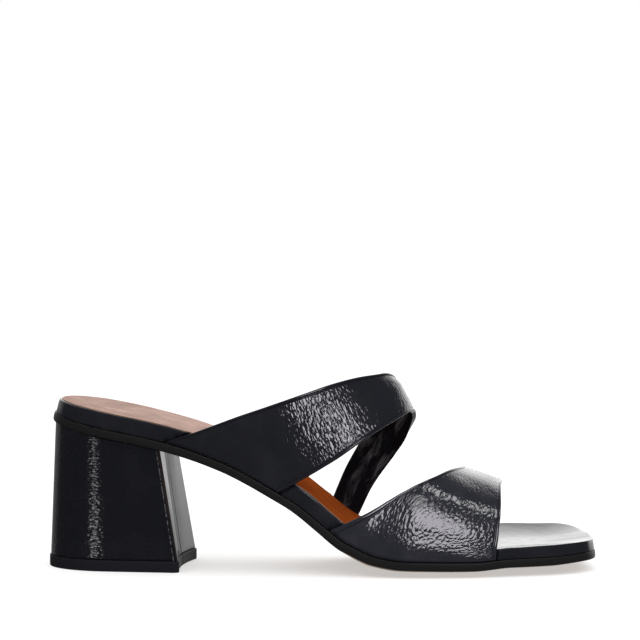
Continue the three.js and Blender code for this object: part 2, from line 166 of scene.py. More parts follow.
# The forefoot's edges rise with the square of the distance past the flat of the tread
def liftOfEdge(at, offset):
    widest = np.maximum(tableHalfWidth(at, False), tableHalfWidth(at, True))
    flat = shoe["treadFlatShare"]
    outward = np.clip((np.abs(offset) / widest - flat) / (1 - flat), 0, shoe["liftLimit"])
    lift = np.where(offset < 0, shoe["edgeLiftOuter"], shoe["edgeLiftInner"])
    return lift * smoothStep(shoe["liftStart"], shoe["liftEnd"], at) * outward ** 2


# A point from station, offset across (inner side positive) and height over the outsole's top
def foot(at, offset, height):
    at, offset, height = np.broadcast_arrays(np.asarray(at, float), offset, height)
    across, up = directions(at)
    rise = height + liftOfEdge(at, offset)
    return centre(at) + across * offset[..., None] + up * rise[..., None]


def insetStation(at, inset):
    moved = inset / shoe["length"]
    atHeel = moved * np.maximum(0, 1 - at / shoe["heelShare"])
    atToe = moved * np.maximum(0, 1 - (1 - at) / shoe["toeShare"])
    return at + atHeel - atToe


def halfWidth(at, inner, inset):
    ends = roundedEnd(at / shoe["heelShare"], shoe["heelPower"])
    ends = ends * roundedEnd((1 - at) / shoe["toeShare"], shoe["toePower"])
    return (tableHalfWidth(insetStation(at, inset), inner) - inset) * ends


def soleThickness(at):
    thinned = smoothStep(shoe["thinStart"], shoe["thinEnd"], at)
    return shoe["soleAtHeel"] + (shoe["soleAtBall"] - shoe["soleAtHeel"]) * thinned


def sockTop(at):
    return curveThrough(bedTop, "share", at) * shoe["bedHeight"]


# The footbed lies under the sock up to the sock's end and comes up level with it at the toe
def bedThickness(at):
    start, end = (shoe["sockEnd"] + footbed[key] for key in ("levelStart", "levelEnd"))
    return sockTop(at) - sock["proud"] * (1 - smoothStep(start, end, at))


# The straps' outer face: a section's arch is a superellipse from the outer root (girth 0) to the
# inner root (girth 1), and it leans with the sole's slope evened out over a tenth of the length
def onLast(at, girth):
    angle = np.pi * girth
    level = -np.cos(angle)
    raised = np.maximum(0, np.sin(angle))
    power = 2 / curveThrough(lastTop, "fullness", at)
    width = halfWidth(at, level >= 0, last["rootInset"]) * np.sign(level) * np.abs(level) ** power
    inward = curveThrough(lastTop, "shift", at) * shoe["ballHalfWidth"] * raised ** 2
    height = curveThrough(lastTop, "height", at) * shoe["instepHeight"]
    across = directions(at)[0]
    reach = last["evenedReach"]
    along = centre(np.minimum(1, at + reach)) - centre(np.maximum(0, at - reach))
    along = unit(along - across * np.sum(along * across, axis=-1, keepdims=True))
    rise = shoe["gap"] + (height - shoe["gap"]) * raised ** power + liftOfEdge(at, width)
    return centre(at) + across * (width + inward)[..., None] + np.cross(along, across) * rise[..., None]


def lastNormal(at, girth):
    reach = 2e-3
    along = onLast(at + reach, girth) - onLast(at - reach, girth)
    around = onLast(at, np.minimum(1, girth + reach)) - onLast(at, np.maximum(0, girth - reach))
    return unit(np.cross(along, around))


# The shoe's own origin in the frame comes from the outsole's box
edgeStations = np.linspace(0, 1, 2001)
edgePoints = np.concatenate([
    foot(edgeStations, side * halfWidth(edgeStations, side > 0, 0), -shoe["gap"] / 2) for side in (-1, 1)])
outsoleLow, outsoleHigh = (np.array(corner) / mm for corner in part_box("outsole"))
origin = (outsoleLow + outsoleHigh - edgePoints.min(0) - edgePoints.max(0)) / 2
origin[2] = 0
print("the heel's back in the frame, mm:", np.round(origin, 2))


def intoFrame(points):
    return (points + origin) * mm


# Quads between neighbouring rows of closed rings
def ringFaces(count, ring):
    row = np.arange(count - 1)[:, None] * ring
    corner = np.arange(ring)[None, :]
    following = (corner + 1) % ring
    quads = np.stack([row + corner, row + following, row + ring + following, row + ring + corner], axis=-1)
    return quads.reshape(-1, 4)


# Six times a closed body's volume, the sum of a . (b x c) over its triangles: positive where faces look out
def volumeSign(points, quads):
    a, b, c, d = (points[quads[:, k]] for k in range(4))
    return np.einsum("ij,ij->", a, np.cross(b, c)) + np.einsum("ij,ij->", a, np.cross(c, d))


# Every piece made, for the lights that only some of them get
pieces = []


# A closed body from rows of closed rings, an array of rows x ring x 3 in the shoe's own sizes. The end
# rows either collapse to a line or a point, or each gets a fan. uv is in millimetres, masks are point
# attributes, and zones are the places of the faces' materials.
def makePiece(name, rows, uv, materials, openEnds=False, masks=None, zones=None):
    count, ring = rows.shape[:2]
    points = rows.reshape(-1, 3)
    quads = ringFaces(count, ring)
    flipped = volumeSign(points - points.mean(0), quads) < 0
    fans = np.zeros((0, 3), int)
    if openEnds:
        corner = np.arange(ring)
        following = (corner + 1) % ring
        base = (count - 1) * ring
        start = np.stack([corner * 0 + len(points), following, corner], axis=-1)
        end = np.stack([corner * 0 + len(points) + 1, base + corner, base + following], axis=-1)
        fans = np.concatenate([start, end])
        points = np.concatenate([points, rows[0].mean(0)[None], rows[-1].mean(0)[None]])
    if flipped:
        quads, fans = quads[:, ::-1], fans[:, ::-1]
    mesh = bpy.data.meshes.new(name)
    mesh.from_pydata(intoFrame(points).tolist(), [], quads.tolist() + fans.tolist())
    extra = len(points) - count * ring
    flat = np.concatenate([uv.reshape(-1, 2), np.zeros((extra, 2))]) * mm
    corners = np.zeros(len(mesh.loops), np.int32)
    mesh.loops.foreach_get("vertex_index", corners)
    mesh.uv_layers.new(name="surface").data.foreach_set("uv", flat[corners].astype(np.float32).ravel())
    for key, values in (masks or {}).items():
        flat = np.concatenate([np.broadcast_to(values, (count, ring)).reshape(-1), np.zeros(extra)])
        mesh.attributes.new(key, "FLOAT", "POINT").data.foreach_set("value", flat.astype(np.float32))
    for material in materials:
        mesh.materials.append(material)
    if zones is not None:
        index = np.zeros(len(mesh.polygons), np.int32)
        index[:len(quads)] = np.broadcast_to(zones, (count - 1, ring)).reshape(-1)
        mesh.polygons.foreach_set("material_index", index)
    body = bmesh.new()
    body.from_mesh(mesh)
    bmesh.ops.remove_doubles(body, verts=body.verts, dist=5e-7)
    bmesh.ops.dissolve_degenerate(body, edges=body.edges, dist=1e-7)
    body.to_mesh(mesh)
    body.free()
    mesh.polygons.foreach_set("use_smooth", np.ones(len(mesh.polygons), bool))
    mesh.validate()
    piece = bpy.data.objects.new(name, mesh)
    bpy.context.scene.collection.objects.link(piece)
    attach(piece, "root")
    print(name, len(mesh.polygons), "faces")
    pieces.append(piece)
    return piece


# Straps: girth runs over the last from the outer root (0) to the inner root (1). The edges give the
# stations of the rear and front edges at a girth, and a cross line joins a girth on each edge.
instepStrap = {
    "edges": {
        "girth": [0, 0.03, 0.07, 0.12, 0.18, 0.25, 0.32, 0.4, 0.45, 0.5, 0.55, 0.6, 0.7, 0.8, 0.9, 1],
        "rear": [0.22, 0.266, 0.308, 0.346, 0.376, 0.401, 0.421, 0.44, 0.448, 0.456, 0.463, 0.468,
                 0.472, 0.477, 0.484, 0.5],
        "front": [0.423, 0.435, 0.448, 0.461, 0.473, 0.487, 0.501, 0.513, 0.519, 0.526, 0.537, 0.545,
                  0.549, 0.542, 0.538, 0.546],
    },
    "crossLines": {
        "along": [0, 0.08, 0.22, 0.5, 0.75, 1],
        "rear": [0, 0.12, 0.26, 0.51, 0.755, 1],
        "front": [0, 0.035, 0.17, 0.47, 0.74, 1],
    },
}
toeStrap = {
    "edges": {
        "girth": [0, 0.03, 0.07, 0.1, 0.12, 0.15, 0.18, 0.22, 0.25, 0.28, 0.32, 0.4, 0.5, 0.6, 0.75,
                  0.9, 1],
        "rear": [0.511, 0.525, 0.544, 0.557, 0.566, 0.584, 0.613, 0.657, 0.683, 0.701, 0.719, 0.746,
                 0.768, 0.776, 0.77, 0.744, 0.72],
        "front": [0.8, 0.803, 0.807, 0.809, 0.811, 0.814, 0.816, 0.819, 0.821, 0.823, 0.826, 0.833,
                  0.844, 0.849, 0.848, 0.837, 0.829],
    },
    "crossLines": {
        "along": [0, 0.08, 0.15, 0.24, 0.34, 0.48, 0.78, 1],
        "rear": [0, 0.12, 0.21, 0.3, 0.39, 0.5, 0.785, 1],
        "front": [0, 0.02, 0.06, 0.14, 0.26, 0.44, 0.77, 1],
    },
}

# Room for the strap roots in the edge of the footbed and the sock. Its wall follows a share of the rims.
recess = {"inset": 3.05, "follow": 0.32, "run": 0.9, "reach": 0.35}
# Past the toe strap the rims of the footbed keep only a share of their inset
toeWrap = {"start": 0.8, "end": 0.88, "share": 0.2}


# The girth where a strap crosses a height over the sole: the inverse of the last's superellipse
def girthAtHeight(at, height, inner):
    tall = curveThrough(lastTop, "height", at) * shoe["instepHeight"]
    share = np.clip((height - shoe["gap"]) / (tall - shoe["gap"]), 0, 1)
    girth = np.arcsin(share ** (curveThrough(lastTop, "fullness", at) / 2)) / np.pi
    return np.where(inner, 1 - girth, girth)


# 1 beside a strap's root and 0 away from it. The span between the strap's edges follows them up the
# side, with a little reach and a soft step over the recess's run.
def recessShare(at, inner, height):
    run, reach = recess["run"] / shoe["length"], recess["reach"] / shoe["length"]
    share = np.zeros(np.broadcast(at, inner, height).shape)
    for table in (instepStrap, toeStrap):
        for side in (False, True):
            edges = table["edges"]
            ends = {}
            for edge in ("rear", "front"):
                root = curveThrough(edges, edge, np.array([1.0 if side else 0.0]), "girth")
                ends[edge] = curveThrough(edges, edge, girthAtHeight(root, height, side), "girth")
            start, end = ends["rear"] - reach, ends["front"] + reach
            cover = smoothStep(start - run, start, at) * (1 - smoothStep(end, end + run, at))
            share = np.maximum(share, np.where(inner == side, cover, 0))
    return share


# Stations from the heel on, closer together at the rounded ends: half a cosine wave, or a quarter of
# one where the piece ends in a straight cut
def soleStations(count, end=1):
    t = np.linspace(0, 1, count)
    return (1 - np.cos(np.pi * t)) / 2 if end == 1 else end * (1 - np.cos(np.pi / 2 * t))


# Rings of a slab of the sole: over the under face, up the outer side, over the upper face and down the
# inner side. A rim is one step of the side: its inset, and its height as a share of the thickness plus
# an offset. Also gives each ring point's rim and its share of the half width.
def soleRings(stations, rims, thickness, recessed):
    columns = rims["columns"]
    top = len(rims["inset"]) - 1
    across = np.sin(np.linspace(-np.pi / 2, np.pi / 2, columns))
    middle = np.arange(1, top)
    rim = np.concatenate([np.zeros(columns, int), middle, np.full(columns, top), middle[::-1]])
    share = np.concatenate([-across, 0 * middle - 1, across, 0 * middle + 1])
    at = stations[:, None]
    inner = share >= 0
    plain = np.array(rims["inset"], float)[rim]
    deep = recess["inset"] + recess["follow"] * (plain - plain.min())
    if recessed:
        plain = plain * (1 - (1 - toeWrap["share"]) * smoothStep(toeWrap["start"], toeWrap["end"], at))
    height = np.array(rims["share"], float)[rim] * thickness(at) + np.array(rims["offset"], float)[rim]
    inset = plain + np.maximum(0, deep - plain) * (recessShare(at, inner, height) if recessed else 0)
    inset = np.broadcast_to(inset, (len(stations), len(rim)))
    station = insetStation(at, inset)
    offset = share * halfWidth(at, inner, inset)
    height = np.array(rims["share"], float)[rim] * thickness(station) + np.array(rims["offset"], float)[rim]
    return foot(station, offset, height), rim, share


# Distance along rows and around rings, in millimetres, for a pattern that follows the surface
def soleSurface(stations, share):
    u = np.broadcast_to(stations[:, None] * shoe["length"], (len(stations), len(share)))
    v = share * tableHalfWidth(stations[:, None], share >= 0)
    return np.stack([u, v], axis=-1)


def setSocket(tree, socket, value):
    if isinstance(value, bpy.types.NodeSocket):
        tree.links.new(value, socket)
    else:
        socket.default_value = value


# A new node with its settings. Its sockets are set or fed, by name or by place (i0, i1).
def addNode(tree, kind, settings=None, **values):
    node = tree.nodes.new(kind)
    for key, value in (settings or {}).items():
        setattr(node, key, value)
    for key, value in values.items():
        setSocket(tree, node.inputs[int(key[1:]) if key[1:].isdigit() else key.replace("_", " ")], value)
    return node


def mathNode(tree, operation, a, b=0.0):
    return addNode(tree, "ShaderNodeMath", {"operation": operation}, i0=a, i1=b).outputs[0]


def multiply(tree, a, b):
    return mathNode(tree, "MULTIPLY", a, b)


def add(tree, a, b):
    return mathNode(tree, "ADD", a, b)


def subtract(tree, a, b):
    return mathNode(tree, "SUBTRACT", a, b)


def distanceTo(tree, value, place):
    return mathNode(tree, "ABSOLUTE", subtract(tree, value, place))


def vectorNode(tree, operation, a, b):
    return addNode(tree, "ShaderNodeVectorMath", {"operation": operation}, i0=a, i1=b).outputs[0]


# A smooth ramp from one value at low to another at high
def mapRange(tree, value, low, high, toLow=0.0, toHigh=1.0):
    return addNode(tree, "ShaderNodeMapRange", {"interpolation_type": "SMOOTHSTEP"}, i0=value, i1=low,
                   i2=high, i3=toLow, i4=toHigh).outputs[0]


def mixColour(tree, factor, a, b):
    return addNode(tree, "ShaderNodeMix", {"data_type": "RGBA"}, i0=factor, i6=a, i7=b).outputs[2]


def noise(tree, vector, scale, detail=2.0, roughness=0.5, distortion=0.0, output="Fac"):
    return addNode(tree, "ShaderNodeTexNoise", None, Vector=vector, Scale=scale, Detail=detail,
                   Roughness=roughness, Distortion=distortion).outputs[output]


def scaled(tree, vector, scale):
    return addNode(tree, "ShaderNodeMapping", None, Vector=vector, Scale=scale).outputs[0]


def bumpNode(tree, height, distance, strength=1.0, **under):
    return addNode(tree, "ShaderNodeBump", None, Height=height, Distance=distance, Strength=strength,
                   **under).outputs[0]


# A shader group with named inputs and outputs, each name: kind
def newGroup(name, inputs, outputs):
    tree = bpy.data.node_groups.new(name, "ShaderNodeTree")
    for way, sockets in (("INPUT", inputs), ("OUTPUT", outputs)):
        for key, kind in sockets.items():
            tree.interface.new_socket(key, in_out=way, socket_type="NodeSocket" + kind)
    return tree, tree.nodes.new("NodeGroupInput").outputs, tree.nodes.new("NodeGroupOutput").inputs


def useGroup(tree, group, **values):
    return addNode(tree, "ShaderNodeGroup", {"node_tree": group}, **values).outputs


# Scales and reaches are in cells of the crinkle
crinkleShape = {
    "wanderScale": 0.45,
    "wanderReach": 4.0,
    "smoothness": 0.4,
    "domeShare": 0.75,
    "rippleScale": 1.3,
    "rippleShare": 0.5,
}


# Crinkled patent: soft domes with narrow valleys between them. The place is divided by the spacing and
# the stretch, bent by a coarse noise, and read by a smooth cell pattern and a fine noise.
def makeCrinkleGroup():
    look = crinkleShape
    tree, given, result = newGroup(
        "crinkle", {"Surface": "Vector", "Spacing": "Float", "Stretch": "Float", "Bend": "Float"},
        {"Height": "Float"})
    size = addNode(tree, "ShaderNodeCombineXYZ", None, X=given["Spacing"],
                   Y=multiply(tree, given["Spacing"], given["Stretch"]), Z=given["Spacing"]).outputs[0]
    place = vectorNode(tree, "DIVIDE", given["Surface"], size)
    wander = noise(tree, place, look["wanderScale"], output="Color")
    centred = vectorNode(tree, "SUBTRACT", wander, (0.5, 0.5, 0.5))
    reach = multiply(tree, given["Bend"], look["wanderReach"])
    bent = addNode(tree, "ShaderNodeVectorMath", {"operation": "SCALE"}, i0=centred, Scale=reach).outputs[0]
    moved = vectorNode(tree, "ADD", place, bent)
    cells = addNode(tree, "ShaderNodeTexVoronoi", {"voronoi_dimensions": "2D", "feature": "SMOOTH_F1"},
                    Vector=moved, Scale=1.0, Smoothness=look["smoothness"], Randomness=1.0)
    dome = multiply(tree, subtract(tree, 1.0, cells.outputs["Distance"]), look["domeShare"])
    ripple = multiply(tree, noise(tree, moved, look["rippleScale"]), look["rippleShare"])
    tree.links.new(add(tree, dome, ripple), result["Height"])
    return tree


# Rates are multiples of the cells' own rate, one over their size
grainShape = {
    "cellEdge": 0.35,
    "cellShare": 0.6,
    "fineRate": 1.7,
    "fineShare": 0.4,
    "pores": (0.62, 0.75),
    "toneRate": 0.045,
}


# Leather grain: small rounded cells with pores, over a slow change of tone
def makeGrainGroup():
    look = grainShape
    tree, given, result = newGroup("leatherGrain", {"Place": "Vector", "Size": "Float"},
                                   {"Height": "Float", "Tone": "Float", "Pores": "Float"})
    rate = mathNode(tree, "DIVIDE", 1.0, given["Size"])
    cells = addNode(tree, "ShaderNodeTexVoronoi", {"feature": "DISTANCE_TO_EDGE"}, Vector=given["Place"],
                    Scale=rate, Randomness=1.0).outputs["Distance"]
    fine = noise(tree, given["Place"], multiply(tree, rate, look["fineRate"]), 4.0, 0.6)
    rounded = multiply(tree, mapRange(tree, cells, 0.0, look["cellEdge"]), look["cellShare"])
    tree.links.new(add(tree, rounded, multiply(tree, fine, look["fineShare"])), result["Height"])
    slow = noise(tree, given["Place"], multiply(tree, rate, look["toneRate"]), 3.0, 0.6)
    tree.links.new(slow, result["Tone"])
    tree.links.new(mapRange(tree, fine, *look["pores"]), result["Pores"])
    return tree


wearShape = {
    "scratchScale": (90, 420, 1400),
    "scratches": (0.66, 0.72),
    "smudgeScale": 55.0,
    "smudges": (0.48, 0.72),
}


# Wear: thin scratches along the surface and a few dull smudges
def makeWearGroup():
    look = wearShape
    tree, given, result = newGroup("wear", {"Place": "Vector"},
                                   {"Scratches": "Float", "Smudges": "Float"})
    lines = noise(tree, scaled(tree, given["Place"], look["scratchScale"]), 1.0, 3.0, 0.7)
    tree.links.new(mapRange(tree, lines, *look["scratches"]), result["Scratches"])
    smudges = noise(tree, given["Place"], look["smudgeScale"], 4.0, 0.55)
    tree.links.new(mapRange(tree, smudges, *look["smudges"]), result["Smudges"])
    return tree


crinkleGroup, grainGroup, wearGroup = makeCrinkleGroup(), makeGrainGroup(), makeWearGroup()


def newMaterial(name):
    material = bpy.data.materials.new(name)
    material.use_nodes = True
    tree = material.node_tree
    return material, tree, tree.nodes["Principled BSDF"]


def objectPlace(tree):
    return tree.nodes.new("ShaderNodeTexCoord").outputs["Object"]


def surfaceMap(tree):
    return addNode(tree, "ShaderNodeUVMap", {"uv_map": "surface"}).outputs[0]


def attribute(tree, name):
    return addNode(tree, "ShaderNodeAttribute", {"attribute_name": name}).outputs["Fac"]


# Sets a shader's sockets to plain values, or feeds them from nodes
def setShader(tree, shader, **values):
    for key, value in values.items():
        setSocket(tree, shader.inputs[key.replace("_", " ")], value)


# Its base colour is lighter than the heel's copy of the same patent: painted light on the straps and the
# wrapped edge
patent = {
    "colour": (0.0098, 0.0103, 0.0134, 1),
    "smudgeColour": (0.0135, 0.014, 0.0178, 1),
    "bend": 0.5,
    "waveScale": 130.0,
    "waveHeight": 0.00006,
    "smoothed": 0.06,
    "roughness": 0.3,
    "smudgeRoughness": 0.15,
    "specular": 0.08,
    "coatIor": 1.5,
    "coatRoughness": 0.06,
}
# A film's crinkle: its spacing and depth in metres, its stretch across the run and its turn in degrees
strapFilm = {"spacing": 0.00108, "stretch": 2.4, "turn": 0, "depth": 0.00017, "smoothMask": "smooth"}
toeFilm = {"spacing": 0.0023, "stretch": 0.45, "turn": 45, "depth": 0.00017, "smoothMask": "smooth"}
# A darker copy of the same patent for the heel: painted shade
heelFilm = {
    "colour": (0.006, 0.0063, 0.0086, 1),
    "smudgeColour": (0.0075, 0.0078, 0.0104, 1),
    "spacing": 0.00085,
    "stretch": 2.8,
    "turn": 0,
    "depth": 0.00014,
    "smoothMask": "breast",
}


# What every black patent shares: the tone follows the smudges, and a clear coat follows the bump
def coatPatent(tree, shader, look, smudges, roughness, bump):
    setShader(tree, shader, Base_Color=mixColour(tree, smudges, look["colour"], look["smudgeColour"]),
              Roughness=roughness, Normal=bump, Coat_Normal=bump, Specular_IOR_Level=look["specular"],
              Coat_Weight=1.0, Coat_IOR=look["coatIor"], Coat_Roughness=look["coatRoughness"])


# Black patent: a crinkled film over leather. The bump follows the crinkle and is nearly flat where the
# smooth mask is 1, and the roughness rises with the smudges.
def makePatent(name, film):
    look = {**patent, **film}
    material, tree, shader = newMaterial(name)
    place = objectPlace(tree)
    turned = addNode(tree, "ShaderNodeMapping", None, Vector=surfaceMap(tree),
                     Rotation=(0, 0, math.radians(look["turn"]))).outputs[0]
    crinkle = useGroup(tree, crinkleGroup, Surface=turned, Spacing=look["spacing"],
                       Stretch=look["stretch"], Bend=look["bend"])
    smudges = useGroup(tree, wearGroup, Place=place)["Smudges"]
    slow = bumpNode(tree, noise(tree, place, look["waveScale"]), look["waveHeight"])
    strength = mapRange(tree, attribute(tree, look["smoothMask"]), 0.0, 1.0, 1.0, look["smoothed"])
    bump = bumpNode(tree, crinkle["Height"], look["depth"], strength, Normal=slow)
    roughness = add(tree, look["roughness"], multiply(tree, smudges, look["smudgeRoughness"]))
    coatPatent(tree, shader, look, smudges, roughness, bump)
    return material


# Places on the heel are shares of its half width across (outer side negative) and of its length along
heelSeams = {
    "seam": -0.36,
    "seamWidth": 0.06,
    "seamCore": 0.4,
    "pastSeam": 0.01,
    "glossEnd": 0.8,
    "gloss": (0.1, 0.85),
    "foldAlong": 0.972,
    "foldWidth": 0.006,
    "brokenScale": 700.0,
    "broken": (0.42, 0.56),
    "outerSide": (-0.99, -0.9),
    # Colour of the fold's painted highlight
    "paintedGlint": (0.09, 0.09, 0.095, 1),
}


# The heel's cover: a closed seam down the breast, duller past it, and a painted glint along the fold beside
# the corner
def addHeelSeams(material):
    look = heelSeams
    tree = material.node_tree
    shader = tree.nodes["Principled BSDF"]
    across, along, breast = (attribute(tree, name) for name in ("across", "along", "breast"))
    toSeam = distanceTo(tree, across, look["seam"])
    unsealed = mapRange(tree, toSeam, look["seamWidth"] * look["seamCore"], look["seamWidth"])
    past = mapRange(tree, across, look["seam"] - look["pastSeam"], look["seam"] + look["pastSeam"])
    gloss = mapRange(tree, across, look["seam"], look["glossEnd"], *look["gloss"])
    dull = multiply(tree, past, subtract(tree, 1.0, gloss))
    kept = multiply(tree, unsealed, subtract(tree, 1.0, dull))
    lost = multiply(tree, breast, subtract(tree, 1.0, kept))
    # A broken light line along the fold on the outer side goes into the base colour as the fold edge's
    # glint: painted highlight
    fold = mapRange(tree, distanceTo(tree, along, look["foldAlong"]), 0.0, look["foldWidth"], 1.0, 0.0)
    broken = mapRange(tree, noise(tree, objectPlace(tree), look["brokenScale"]), *look["broken"])
    onOuter = mapRange(tree, across, *look["outerSide"], 1.0, 0.0)
    paintedGlint = multiply(tree, multiply(tree, fold, broken), onOuter)
    plain = shader.inputs["Base Color"].links[0].from_socket
    setShader(tree, shader, Coat_Weight=subtract(tree, 1.0, lost),
              Base_Color=mixColour(tree, paintedGlint, plain, look["paintedGlint"]))


bedFilm = {"waveScale": 170.0, "waveHeight": 0.00012, "roughness": (0.28, 0.42), "coatRoughness": 0.05}


# Smooth black patent of the wrapped edge: slow waves only
def makeSmoothPatent():
    look = {**patent, **bedFilm}
    material, tree, shader = newMaterial("footbedPatent")
    place = objectPlace(tree)
    smudges = useGroup(tree, wearGroup, Place=place)["Smudges"]
    bump = bumpNode(tree, noise(tree, place, look["waveScale"], 2.0, 0.45), look["waveHeight"])
    coatPatent(tree, shader, look, smudges, mapRange(tree, smudges, 0, 1, *look["roughness"]), bump)
    return material


liningLook = {
    "dark": (0.0042, 0.005, 0.0068, 1),
    "light": (0.007, 0.0082, 0.0105, 1),
    # Colour of the patches of painted reflection
    "paintedSheen": (0.085, 0.092, 0.1, 1),
    "sheenScale": (60, 240, 1),
    "sheenFrom": (0.5, 0.74),
    "foldScale": (110, 380, 1),
    "foldDepth": 0.0005,
    "grain": 0.00055,
    "grainDepth": 0.00006,
    "grainStrength": 0.5,
    "roughness": (0.24, 0.4),
    "specular": 0.06,
}


# Black lining leather on the straps' inner side: fine grain, soft folds and lighter patches painted in as
# reflection
def makeLining():
    look = liningLook
    material, tree, shader = newMaterial("strapLining")
    surface = surfaceMap(tree)
    grain = useGroup(tree, grainGroup, Place=objectPlace(tree), Size=look["grain"])
    black = mixColour(tree, grain["Tone"], look["dark"], look["light"])
    # Lighter patches mixed into the base colour: painted reflection of soft light on the glossy lining
    paintedSheen = noise(tree, scaled(tree, surface, look["sheenScale"]), 1.0, 4.0, 0.6, 0.6)
    paintedSheen = mapRange(tree, paintedSheen, *look["sheenFrom"])
    folds = noise(tree, scaled(tree, surface, look["foldScale"]), 1.0, 3.0, 0.55, 0.4)
    creased = bumpNode(tree, folds, look["foldDepth"])
    setShader(tree, shader, Base_Color=mixColour(tree, paintedSheen, black, look["paintedSheen"]),
              Normal=bumpNode(tree, grain["Height"], look["grainDepth"], look["grainStrength"],
                              Normal=creased),
              Roughness=mapRange(tree, grain["Pores"], 0, 1, *look["roughness"]),
              Specular_IOR_Level=look["specular"])
    return material


sockLook = {
    "light": (0.29, 0.115, 0.055, 1),
    "dark": (0.085, 0.028, 0.012, 1),
    # The waist's darker, redder copy of the same leather: painted shade under the straps
    "lightShadedWaist": (0.235, 0.052, 0.01, 1),
    "darkShadedWaist": (0.165, 0.031, 0.005, 1),
    "edge": (0.16, 0.115, 0.085, 1),
    "paintedWaistShade": (-0.064, -0.022),
    "grain": 0.0006,
    "brushScale": (70, 1300, 1),
    "brushAndSheenTone": 0.75,
    "tone": (0.38, 0.62),
    "brushDepth": 0.5,
    "depth": 0.00008,
    "strength": 0.45,
    "roughness": (0.42, 0.3),
    "specular": (0.2, 0.0),
}


# Tan sock leather: lighter streaks along the foot, partly brushed grain and partly painted reflection; at
# the waist a darker, redder copy as painted shade and without gloss; with a light cut edge
def makeSockLeather():
    look = sockLook
    material, tree, shader = newMaterial("sockLeather")
    place = objectPlace(tree)
    grain = useGroup(tree, grainGroup, Place=place, Size=look["grain"])
    # The streaks lighten the colour: partly brushed grain, partly painted reflection streaks
    streaks = noise(tree, scaled(tree, surfaceMap(tree), look["brushScale"]), 1.0, 3.0, 0.6)
    tone = add(tree, multiply(tree, grain["Tone"], 1 - look["brushAndSheenTone"]),
               multiply(tree, streaks, look["brushAndSheenTone"]))
    tone = mapRange(tree, tone, *look["tone"])
    along = addNode(tree, "ShaderNodeSeparateXYZ", None, i0=place).outputs["X"]
    # From the heel to the waist the colour turns to the darker copy: painted shade
    paintedWaistShade = mapRange(tree, along, *look["paintedWaistShade"])
    body = mixColour(tree, paintedWaistShade, mixColour(tree, tone, look["dark"], look["light"]),
                     mixColour(tree, tone, look["darkShadedWaist"], look["lightShadedWaist"]))
    height = add(tree, grain["Height"], multiply(tree, streaks, look["brushDepth"]))
    setShader(tree, shader, Base_Color=mixColour(tree, attribute(tree, "cutEdge"), body, look["edge"]),
              Normal=bumpNode(tree, height, look["depth"], look["strength"]),
              Roughness=mapRange(tree, tone, 0.0, 1.0, *look["roughness"]),
              Specular_IOR_Level=mapRange(tree, paintedWaistShade, 0, 1, *look["specular"]))
    return material


soleLook = {
    "edge": (0.0105, 0.0098, 0.0098, 1),
    "edgeWorn": (0.014, 0.012, 0.011, 1),
    "under": (0.36, 0.24, 0.15, 1),
    "underDark": (0.26, 0.165, 0.10, 1),
    "grain": 0.0008,
    "tone": (0.35, 0.65),
    "depth": 0.00007,
    "strength": 0.5,
    "roughness": (0.36, 0.6),
    "specular": 0.22,
}


# Outsole: a dyed black brown edge and a tan leather under face
def makeSoleLeather():
    look = soleLook
    material, tree, shader = newMaterial("soleLeather")
    place = objectPlace(tree)
    grain = useGroup(tree, grainGroup, Place=place, Size=look["grain"])
    scratches = useGroup(tree, wearGroup, Place=place)["Scratches"]
    edge = mixColour(tree, scratches, look["edge"], look["edgeWorn"])
    under = mixColour(tree, mapRange(tree, grain["Tone"], *look["tone"]), look["underDark"], look["under"])
    mask = attribute(tree, "under")
    setShader(tree, shader, Base_Color=mixColour(tree, mask, edge, under),
              Normal=bumpNode(tree, grain["Height"], look["depth"], look["strength"]),
              Roughness=mapRange(tree, mask, 0, 1, *look["roughness"]),
              Specular_IOR_Level=look["specular"])
    return material


tipLook = {
    "colour": (0.0085, 0.0085, 0.012, 1),
    "scratched": (0.02, 0.02, 0.024, 1),
    "gritScale": 2600.0,
    "grit": (0.3, 0.7),
    "depth": 0.00006,
    "strength": 0.4,
    "roughness": (0.5, 0.66),
    "specular": 0.18,
}


# Heel tip: dull black rubber with fine grit
def makeTipRubber():
    look = tipLook
    material, tree, shader = newMaterial("heelTipRubber")
    place = objectPlace(tree)
    grit = noise(tree, place, look["gritScale"], 3.0, 0.65)
    scratches = useGroup(tree, wearGroup, Place=place)["Scratches"]
    setShader(tree, shader, Base_Color=mixColour(tree, scratches, look["colour"], look["scratched"]),
              Normal=bumpNode(tree, grit, look["depth"], look["strength"]),
              Roughness=mapRange(tree, grit, *look["grit"], *look["roughness"]),
              Specular_IOR_Level=look["specular"])
    return material


strapPatent = makePatent("strapPatent", strapFilm)
toePatent = makePatent("toePatent", toeFilm)
heelPatent = makePatent("heelPatent", heelFilm)
addHeelSeams(heelPatent)
bedPatent = makeSmoothPatent()
strapLining = makeLining()
sockLeather = makeSockLeather()
soleLeather = makeSoleLeather()
tipRubber = makeTipRubber()
print("materials made")

# The sock stands a little proud of the footbed's wrapped edge
sock = {
    "proud": 0.45,
    "rows": 300,
    "rims": {
        "columns": 44,
        "inset": [1.9, 1.82, 1.8, 1.84, 1.95, 2.15],
        "share": [1, 1, 1, 1, 1, 1],
        "offset": [-0.6, -0.5, -0.3, -0.14, -0.04, 0],
    },
    "edgeRims": 4,
}

outsole = {
    "rows": 360,
    "rims": {
        "columns": 40,
        "inset": [0.75, 0.5, 0.27, 0.12, 0.04, 0, 0, 0.04, 0.13, 0.28],
        "share": [-1, -1, -1, -1, -1, -1, 0, 0, 0, 0],
        "offset": [0, 0.1, 0.35, 0.8, 1.4, 2.0, -0.5, -0.32, -0.2, -0.15],
    },
    "tanRim": 0,
    "tanShare": 0.97,
}


